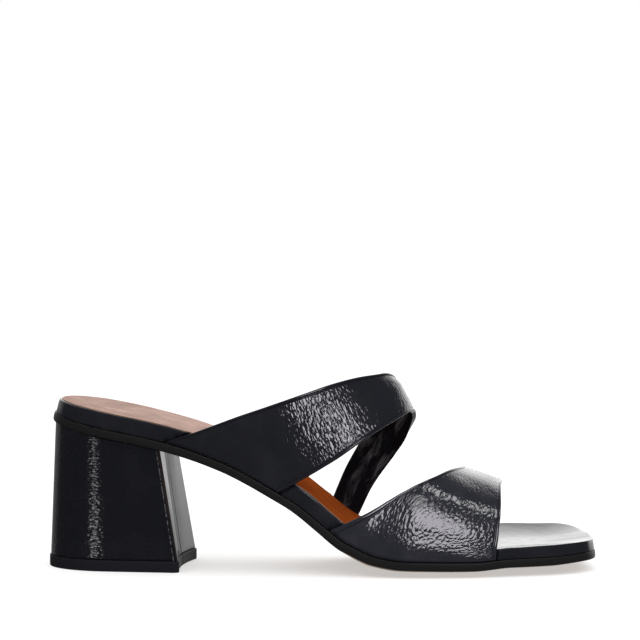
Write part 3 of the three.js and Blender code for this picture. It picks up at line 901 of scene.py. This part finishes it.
def makeOutsole():
    stations = soleStations(outsole["rows"])
    points, rim, share = soleRings(stations, outsole["rims"], soleThickness, recessed=False)
    under = (rim <= outsole["tanRim"]) & (abs(share) < outsole["tanShare"])
    piece = makePiece("outsole_body", points, soleSurface(stations, share), [soleLeather],
                      masks={"under": under.astype(float)[None]})
    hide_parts("outsole")


footbed = {
    "rows": 420,
    "rims": {
        "columns": 44,
        "inset": [0.95, 0.7, 0.6, 0.62, 0.66, 0.7, 0.78, 0.92, 1.12, 1.35, 1.7],
        "share": [0, 0, 0, 0.5, 1, 1, 1, 1, 1, 1, 1],
        "offset": [0.1, 0.18, 0.4, 0, -1.3, -0.8, -0.48, -0.24, -0.09, -0.02, 0],
    },
    "levelStart": 0.002,
    "levelEnd": 0.022,
    "toeCrown": 0.5,
    "crownStart": 0.78,
    "crownEnd": 0.86,
}


# The wrapped edge and, past the sock's end, the smooth toe with a slight crown across
def makeFootbed():
    stations = soleStations(footbed["rows"])
    points, rim, share = soleRings(stations, footbed["rims"], bedThickness, recessed=True)
    onTop = (rim == len(footbed["rims"]["inset"]) - 1)[None]
    crowned = smoothStep(footbed["crownStart"], footbed["crownEnd"], stations)[:, None]
    crown = footbed["toeCrown"] * crowned * (1 - share ** 2)[None] * onTop
    up = directions(stations)[1][:, None, :]
    points = points + up * crown[..., None]
    piece = makePiece("footbed_body", points, soleSurface(stations, share), [bedPatent])
    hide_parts("footbed")


def makeSock():
    stations = soleStations(sock["rows"], shoe["sockEnd"])
    points, rim, share = soleRings(stations, sock["rims"], sockTop, recessed=True)
    piece = makePiece("sock_body", points, soleSurface(stations, share), [sockLeather],
                      openEnds=True, masks={"cutEdge": (rim < sock["edgeRims"]).astype(float)[None]})
    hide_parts("sock")


strap = {
    "wall": 1.8,
    "rows": 300,
    "bodyColumns": 64,
    # The section of an edge, from the side over the raised rim into the groove and up to the body:
    # distance in from the edge, and height over the strap's face
    "edgeIn": [0, 0.03, 0.13, 0.3, 0.55, 0.85, 1.08, 1.22, 1.32, 1.46, 1.64, 1.95],
    "edgeRise": [-0.35, -0.08, 0.13, 0.27, 0.35, 0.34, 0.25, 0.08, -0.13, -0.16, -0.04, 0.02],
    "sideDepths": [-0.8, -1.25, -1.6],
    "grooveColumns": 2,
    "pillow": 0.12,
    "rowsCrowded": 0.35,
    "leastSlant": 0.45,
    "foldFade": (1.0, 6.0),
    "liningFollows": 0.8,
    "liningTuck": 0.12,
    "rootSmooth": (0.9, 0.97),
    "pulledSmooth": 0.85,
}


# Soft troughs and ridges over a strap. A crease has its middle (share along, share across), the angle
# of its line from the run, its length and width in millimetres, and its height, under 0 for a trough.
def creaseHeights(creases, u, v, length, width):
    height = np.zeros_like(u)
    columns = ("along", "across", "angle", "length", "width", "height")
    for alongShare, acrossShare, angle, reach, breadth, rise in zip(*(creases[key] for key in columns)):
        turn = math.radians(angle)
        du, dv = u - alongShare * length, v - acrossShare * width
        onLine = du * math.cos(turn) + dv * math.sin(turn)
        offLine = dv * math.cos(turn) - du * math.sin(turn)
        height += rise * np.exp(-(onLine / reach * 2) ** 2 - (offLine / breadth * 2) ** 2)
    return height


# A strap from its tables: each cross line is a straight step through station and girth, raised off the
# last along its normal by the edge section, the pillow and the creases. The wall's ring runs over the
# outer face, down the front side, back over the lining and up the rear side, and closes at both roots.
# The film is smooth on the rims and nearly smooth where it is pulled tight at the roots.
def makeStrap(name, node, table, creases, material):
    count = strap["rows"]
    even = np.linspace(0, 1, count)
    along = even + ((1 - np.cos(np.pi * even)) / 2 - even) * strap["rowsCrowded"]
    edge = {}
    for side in ("rear", "front"):
        girth = curveThrough(table["crossLines"], side, along, "along")
        at = curveThrough(table["edges"], side, girth, "girth")
        point = onLast(at, girth)
        edge[side] = {"at": at, "girth": girth, "point": point, "run": unit(np.gradient(point, axis=0))}
    across = edge["front"]["point"] - edge["rear"]["point"]
    width = np.linalg.norm(across, axis=-1)
    perMm = {side: 1 / (np.maximum(strap["leastSlant"], np.linalg.norm(
        np.cross(edge[side]["run"], across / width[:, None]), axis=-1)) * width) for side in edge}
    inward, rise = np.array(strap["edgeIn"]), np.array(strap["edgeRise"])
    rearShare = inward[None] * perMm["rear"][:, None]
    frontShare = 1 - inward[::-1][None] * perMm["front"][:, None]
    step = np.linspace(0, 1, strap["bodyColumns"] + 2)[1:-1]
    bodyShare = rearShare[:, -1:] + (frontShare[:, :1] - rearShare[:, -1:]) * step[None]
    outer = np.concatenate([rearShare, bodyShare, frontShare], axis=1)
    sides = np.array(strap["sideDepths"])
    ones = np.ones((count, len(sides)))
    share = np.concatenate([outer, ones, outer[:, ::-1], ones * 0], axis=1)

    middle = (edge["rear"]["point"] + edge["front"]["point"]) / 2
    runLength = np.concatenate([[0], np.cumsum(np.linalg.norm(np.diff(middle, axis=0), axis=-1))])
    u = np.broadcast_to(runLength[:, None], share.shape)
    v = share * width[:, None]
    pillow = strap["pillow"] * np.sin(np.pi * step)
    body = np.broadcast_to(np.concatenate([rise, pillow, rise[::-1]]), outer.shape)
    fade = smoothStep(*strap["foldFade"], np.minimum(outer, 1 - outer) * width[:, None])
    outerU, outerV = u[:, :outer.shape[1]], v[:, :outer.shape[1]]
    folds = creaseHeights(creases, outerU, outerV, runLength[-1], width[:, None]) * fade
    body = body + folds
    lining = -strap["wall"] + folds[:, ::-1] * strap["liningFollows"]
    lining[:, [0, -1]] += strap["liningTuck"]
    depth = np.concatenate([body, ones * sides, lining, ones * sides[::-1]], axis=1)
    depth[[0, -1]] = -strap["wall"] / 2

    at, girth = (edge["rear"][key][:, None] + (edge["front"][key] - edge["rear"][key])[:, None] * share
                 for key in ("at", "girth"))
    for column in (at, girth):
        column[1], column[-2] = column[0], column[-1]
    points = onLast(at, girth) + lastNormal(at, girth) * depth[..., None]
    columns = outer.shape[1]
    isLining = np.zeros(share.shape[1], int)
    isLining[columns + len(sides) - 1:2 * columns + len(sides)] = 1
    rim = np.zeros(share.shape[1])
    rimColumns = len(inward) - strap["grooveColumns"]
    rim[:rimColumns] = 1
    rim[columns - rimColumns:columns] = 1
    pulled = 1 - smoothStep(*creases["crinkled"], along) * (1 - smoothStep(*strap["rootSmooth"], along))
    smooth = np.maximum(rim[None], strap["pulledSmooth"] * pulled[:, None])
    piece = makePiece(name, points, np.stack([u, v], axis=-1), [material, strapLining],
                      masks={"smooth": smooth}, zones=isLining[None])
    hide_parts(node)


# Creases given one by one, and the shares of the run where the film's crinkle starts at the outer root
instepCreases = {
    "crinkled": (0.03, 0.15),
    "along": [0.12, 0.3, 0.46, 0.6, 0.78],
    "across": [0.4, 0.6, 0.35, 0.6, 0.4],
    "angle": [80, 70, 85, 95, 100],
    "length": [26, 22, 24, 20, 24],
    "width": [7, 6, 8, 6, 7],
    "height": [-0.25, 0.2, -0.2, 0.2, -0.25],
}
toeCreases = {
    "crinkled": (0.0, 0.06),
    "along": [0.1, 0.24, 0.36, 0.55, 0.72, 0.9],
    "across": [0.5, 0.35, 0.55, 0.5, 0.4, 0.5],
    "angle": [75, 60, 80, 90, 95, 100],
    "length": [30, 26, 26, 28, 26, 30],
    "width": [8, 7, 7, 8, 7, 8],
    "height": [-0.25, 0.22, -0.2, 0.2, -0.2, 0.2],
}

heel = {
    "spread": 48,
    "reach": 61.5,
    "turn": -6,
    "floorRear": (-2.2, 3.4),
    "topRear": 0.006,
    "topFrontOuter": 0.213,
    "topFrontInner": 0.219,
    "hollowOnFloor": 2.4,
    "hollowUnderSole": 0.8,
    "breastCorner": 2.4,
    "inset": 1.3,
    "glueGap": 0.04,
    "tipThickness": 5,
    "tipProud": 0.5,
    "widestAlong": 0.5,
    "hollowPower": 3,
    "levels": 90,
    "firstLevel": 0.03,
    "roundLevel": [0, 0.004, 0.01, 0.018],
    "roundInset": [0.6, 0.25, 0.08, 0],
    "backColumns": 70,
    "straightColumns": 24,
    "cornerColumns": 10,
    "seamFrom": 0.99,
    "seamDepth": 0.45,
    "seamWidth": 0.35,
    "breastMask": (0.985, 0.997),
}
# Heights of the tip's rings over the floor, and how far each is in from its widest
heelTip = {
    "height": [0, 0.08, 0.3, 0.7, 1.5, 3.5, 4.5, 4.85, 5],
    "inset": [0.5, 0.22, 0.06, 0, 0, 0, 0, 0.12, 0.45],
}


# The D shaped plan: from a share along the heel and a share across it. The breast at the front is
# hollow and its corners are rounded, and the back is a superellipse.
def heelPlan(along, across, reach, halfSpread, hollow):
    corner = heel["breastCorner"]
    cut = np.clip((1 - along) * reach / corner, 0, 1)
    trim = corner * (1 - np.sqrt(1 - (1 - cut) ** 2))
    width = halfSpread * roundedEnd(along / heel["widestAlong"], shoe["heelPower"]) - trim
    onSeam = np.exp(-(across * width / heel["seamWidth"]) ** 2) * (along > heel["seamFrom"])
    hollowed = hollow * (1 - across ** 2) * along ** heel["hollowPower"]
    return along * reach - hollowed - heel["seamDepth"] * onSeam, across * width


def heelOnFloor(along, across, level, proud):
    x, y = heelPlan(along, across, heel["reach"] + 2 * proud, heel["spread"] / 2 + proud,
                    heel["hollowOnFloor"])
    turn = math.radians(heel["turn"])
    x = x - proud
    return np.stack([heel["floorRear"][0] + x * math.cos(turn) - y * math.sin(turn),
                     heel["floorRear"][1] + x * math.sin(turn) + y * math.cos(turn),
                     np.broadcast_to(level, x.shape)], axis=-1)


def heelUnderSole(along, across):
    front = heel["topFrontOuter"] + (heel["topFrontInner"] - heel["topFrontOuter"]) * (across + 1) / 2
    reach = (front - heel["topRear"]) * shoe["length"]
    x = heelPlan(along, across, reach, 1, heel["hollowUnderSole"])[0]
    at = heel["topRear"] + x / shoe["length"]
    spread = tableHalfWidth(at, across >= 0) - heel["inset"]
    y = heelPlan(along, across, reach, spread, heel["hollowUnderSole"])[1]
    return foot(at, y, -soleThickness(at) - heel["glueGap"])


# One turn round the heel: along the outer side from the back, over the breast and back on the inner side
def heelLoop():
    quarter = np.pi / 2
    corner, widest = heel["breastCorner"] / heel["reach"], heel["widestAlong"]
    back = widest * (1 - np.cos(quarter * np.linspace(0, 1, heel["backColumns"])))
    straight = np.linspace(widest, 1 - corner, heel["straightColumns"])[1:]
    rounded = 1 - corner + corner * np.sin(quarter * np.linspace(0, 1, heel["cornerColumns"]))[1:]
    side = np.concatenate([back, straight, rounded])
    half = np.concatenate([np.linspace(1, 0.1, 16)[1:], np.linspace(0.08, 0, 9)])
    breast = np.concatenate([-half, half[::-1][1:]])
    along = np.concatenate([side, np.ones(len(breast)), side[::-1][:-1]])
    across = np.concatenate([-np.ones(len(side)), breast, np.ones(len(side) - 1)])
    return along, across


# Round a ring of a level inwards, square to its outline
def insetRings(points, inset):
    after, before = np.roll(points, -1, axis=1), np.roll(points, 1, axis=1)
    run = unit((after - before) * (1, 1, 0))
    outward = np.stack([run[..., 1], -run[..., 0], 0 * run[..., 0]], axis=-1)
    middle = points.mean(axis=1, keepdims=True)
    sign = np.sign(np.sum(outward * (points - middle), axis=-1).sum(axis=1))[:, None, None]
    return points - outward * sign * inset[:, None, None]


def heelSurface(points):
    step = np.linalg.norm(np.diff(points, axis=1, append=points[:, :1]), axis=-1)
    around = np.concatenate([0 * step[:, :1], np.cumsum(step, axis=1)[:, :-1]], axis=1)
    return np.stack([points[..., 2], around], axis=-1)


def makeHeelBlock():
    along, across = heelLoop()
    level = np.concatenate([heel["roundLevel"], np.linspace(heel["firstLevel"], 1, heel["levels"])])
    low = heelOnFloor(along, across, heel["tipThickness"] + heel["glueGap"], 0)[None]
    high = heelUnderSole(along, across)[None]
    inset = np.concatenate([heel["roundInset"], np.zeros(heel["levels"])])
    points = insetRings(low + (high - low) * level[:, None, None], inset)
    breast = smoothStep(*heel["breastMask"], along)
    piece = makePiece("heel_cover", points, heelSurface(points), [heelPatent],
                      openEnds=True,
                      masks={"breast": breast[None], "across": across[None], "along": along[None]})
    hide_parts("heel_block")


def makeHeelTip():
    along, across = heelLoop()
    rings = [heelOnFloor(along, across, height, heel["tipProud"]) for height in heelTip["height"]]
    points = insetRings(np.stack(rings), np.array(heelTip["inset"]))
    piece = makePiece("heel_tip", points, heelSurface(points), [tipRubber], openEnds=True)
    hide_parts("top_piece")


makeOutsole()
makeFootbed()
makeSock()
makeStrap("instep_strap_wall", "instep_strap", instepStrap, instepCreases, strapPatent)
makeStrap("toe_strap_wall", "toe_strap", toeStrap, toeCreases, toePatent)
makeHeelBlock()
makeHeelTip()
print("pieces made")

# The camera looks at a place given in the shoe's own sizes
view = {
    "lens": 200,
    "sensor": 36,
    "clip": (0.05, 50),
    "distance": 1.5845,
    "azimuth": 2.0,
    "elevation": 4.0,
    "target": (118.4, 0, 110.1),
}


# A direction from an azimuth, 0 towards the camera's side and positive to the toe, and an elevation
def towards(azimuth, elevation):
    az, el = math.radians(azimuth), math.radians(elevation)
    return Vector((math.sin(az) * math.cos(el), -math.cos(az) * math.cos(el), math.sin(el)))


def makeCamera():
    data = bpy.data.cameras.new("camera")
    data.lens, data.sensor_width = view["lens"], view["sensor"]
    data.clip_start, data.clip_end = view["clip"]
    camera = bpy.data.objects.new("camera", data)
    out = towards(view["azimuth"], view["elevation"])
    camera.location = Vector(intoFrame(np.array(view["target"]))) + out * view["distance"]
    camera.rotation_euler = (-out).to_track_quat("-Z", "Y").to_euler()
    bpy.context.scene.collection.objects.link(camera)
    bpy.context.scene.camera = camera


# Panels of light by direction, distance, size and radiance. One with "only" lights just those pieces,
# and one with "hidden" all but those.
panels = {
    "softbox": {"azimuth": 20, "elevation": 25, "distance": 1.2, "width": 0.26, "height": 0.34,
                "radiance": 11.0, "colour": (1, 0.97, 1.04), "hidden": ["toe_strap_wall"]},
    "toeSoftbox": {"azimuth": 12, "elevation": 20, "distance": 1.2, "width": 0.68, "height": 0.6,
                   "radiance": 8.5, "colour": (1, 0.97, 1.04), "only": ["toe_strap_wall"]},
    "upper": {"azimuth": 8, "elevation": 43, "distance": 1.2, "width": 0.6, "height": 0.3,
              "radiance": 3.5, "colour": (1, 1, 1), "only": ["toe_strap_wall"]},
    "side": {"azimuth": 60, "elevation": 56, "distance": 1.2, "width": 0.35, "height": 0.25,
             "radiance": 7.0, "colour": (1, 1, 1), "only": ["toe_strap_wall"]},
    "strip": {"azimuth": -37, "elevation": -18, "distance": 1.4, "width": 0.14, "height": 0.34,
              "radiance": 5.5, "colour": (1, 1, 1), "only": ["heel_cover"]},
}
aimHeight = 0.05
overhead = {"azimuth": 20, "elevation": 80, "strength": 4.6, "spread": 110}


# A light in the scene that faces back along a direction
def placeLight(data, out, distance=0):
    light = bpy.data.objects.new(data.name, data)
    light.location = Vector((0, 0, aimHeight)) + out * distance
    light.rotation_euler = (-out).to_track_quat("-Z", "Y").to_euler()
    bpy.context.scene.collection.objects.link(light)
    return light


# A panel of light that faces the shoe. Its watts follow from its radiance: radiance x area x pi.
def makePanel(name, look):
    data = bpy.data.lights.new(name, "AREA")
    data.shape, data.size, data.size_y = "RECTANGLE", look["width"], look["height"]
    data.energy = look["radiance"] * look["width"] * look["height"] * math.pi
    data.color = look["colour"]
    light = placeLight(data, towards(look["azimuth"], look["elevation"]), look["distance"])
    light.visible_camera = False
    if "only" in look or "hidden" in look:
        lit = bpy.data.collections.new(name + "Lit")
        for piece in pieces:
            if piece.name in look.get("only", [piece.name]) and piece.name not in look.get("hidden", []):
                lit.objects.link(piece)
        light.light_linking.receiver_collection = lit


# A broad soft light from above that whitens the floor and isn't mirrored in the patent
def makeOverhead():
    data = bpy.data.lights.new("overhead", "SUN")
    data.energy, data.angle = overhead["strength"], math.radians(overhead["spread"])
    light = placeLight(data, towards(overhead["azimuth"], overhead["elevation"]))
    light.visible_glossy = False


# The room that the patent mirrors: ramps over the direction, each from, to and its value at both ends
room = {
    "darkest": 0.03,
    "behind": (0.45, 0.75, 0, 1),
    "right": (-0.5, 0.1, 0.2, 1),
    "overFloor": (-0.08, 0.06, 0.6, 1.4),
    "high": (0.45, 0.8, 1, 0.3),
}


# White behind the shoe and for the camera, dark on the camera's side, where only the panels are bright
def makeWorld():
    world = bpy.data.worlds.new("studio")
    bpy.context.scene.world = world
    world.use_nodes = True
    tree = world.node_tree
    tree.nodes.clear()
    direction = tree.nodes.new("ShaderNodeTexCoord").outputs["Generated"]
    axes = addNode(tree, "ShaderNodeSeparateXYZ", None, i0=direction).outputs
    level = 1.0
    for axis, key in (("Y", "behind"), ("X", "right"), ("Z", "overFloor"), ("Z", "high")):
        level = multiply(tree, level, mapRange(tree, axes[axis], *room[key]))
    level = add(tree, room["darkest"], level)
    surround = addNode(tree, "ShaderNodeBackground", None, Color=(1, 1, 1, 1), Strength=level)
    plain = addNode(tree, "ShaderNodeBackground", None, Color=(1, 1, 1, 1), Strength=1.0)
    isCamera = tree.nodes.new("ShaderNodeLightPath").outputs["Is Camera Ray"]
    mixed = addNode(tree, "ShaderNodeMixShader", None, i0=isCamera, i1=surround.outputs[0],
                    i2=plain.outputs[0])
    output = tree.nodes.new("ShaderNodeOutputWorld")
    tree.links.new(mixed.outputs[0], output.inputs[0])


# It starts in front of the shoe, and glows a little so that the shadow stays light
floor = {
    "left": -3,
    "right": 3,
    "near": -0.3,
    "far": 4,
    "colour": (0.5, 0.5, 0.5, 1),
    "roughness": 0.9,
    "specular": 0.1,
    "glow": 0.46,
}


def makeFloor():
    mesh = bpy.data.meshes.new("floor")
    corners = [(floor["left"], floor["near"], 0), (floor["right"], floor["near"], 0),
               (floor["right"], floor["far"], 0), (floor["left"], floor["far"], 0)]
    mesh.from_pydata(corners, [], [(0, 1, 2, 3)])
    material, tree, shader = newMaterial("floorPaper")
    setShader(tree, shader, Base_Color=floor["colour"], Roughness=floor["roughness"],
              Specular_IOR_Level=floor["specular"], Emission_Color=(1, 1, 1, 1),
              Emission_Strength=floor["glow"])
    mesh.materials.append(material)
    plane = bpy.data.objects.new("floor", mesh)
    plane.visible_glossy = False
    plane.visible_shadow = False
    bpy.context.scene.collection.objects.link(plane)


makeCamera()
makeWorld()
makeFloor()
for name, look in panels.items():
    makePanel(name, look)
makeOverhead()
bpy.context.scene.view_settings.view_transform = "Standard"
print("studio made")
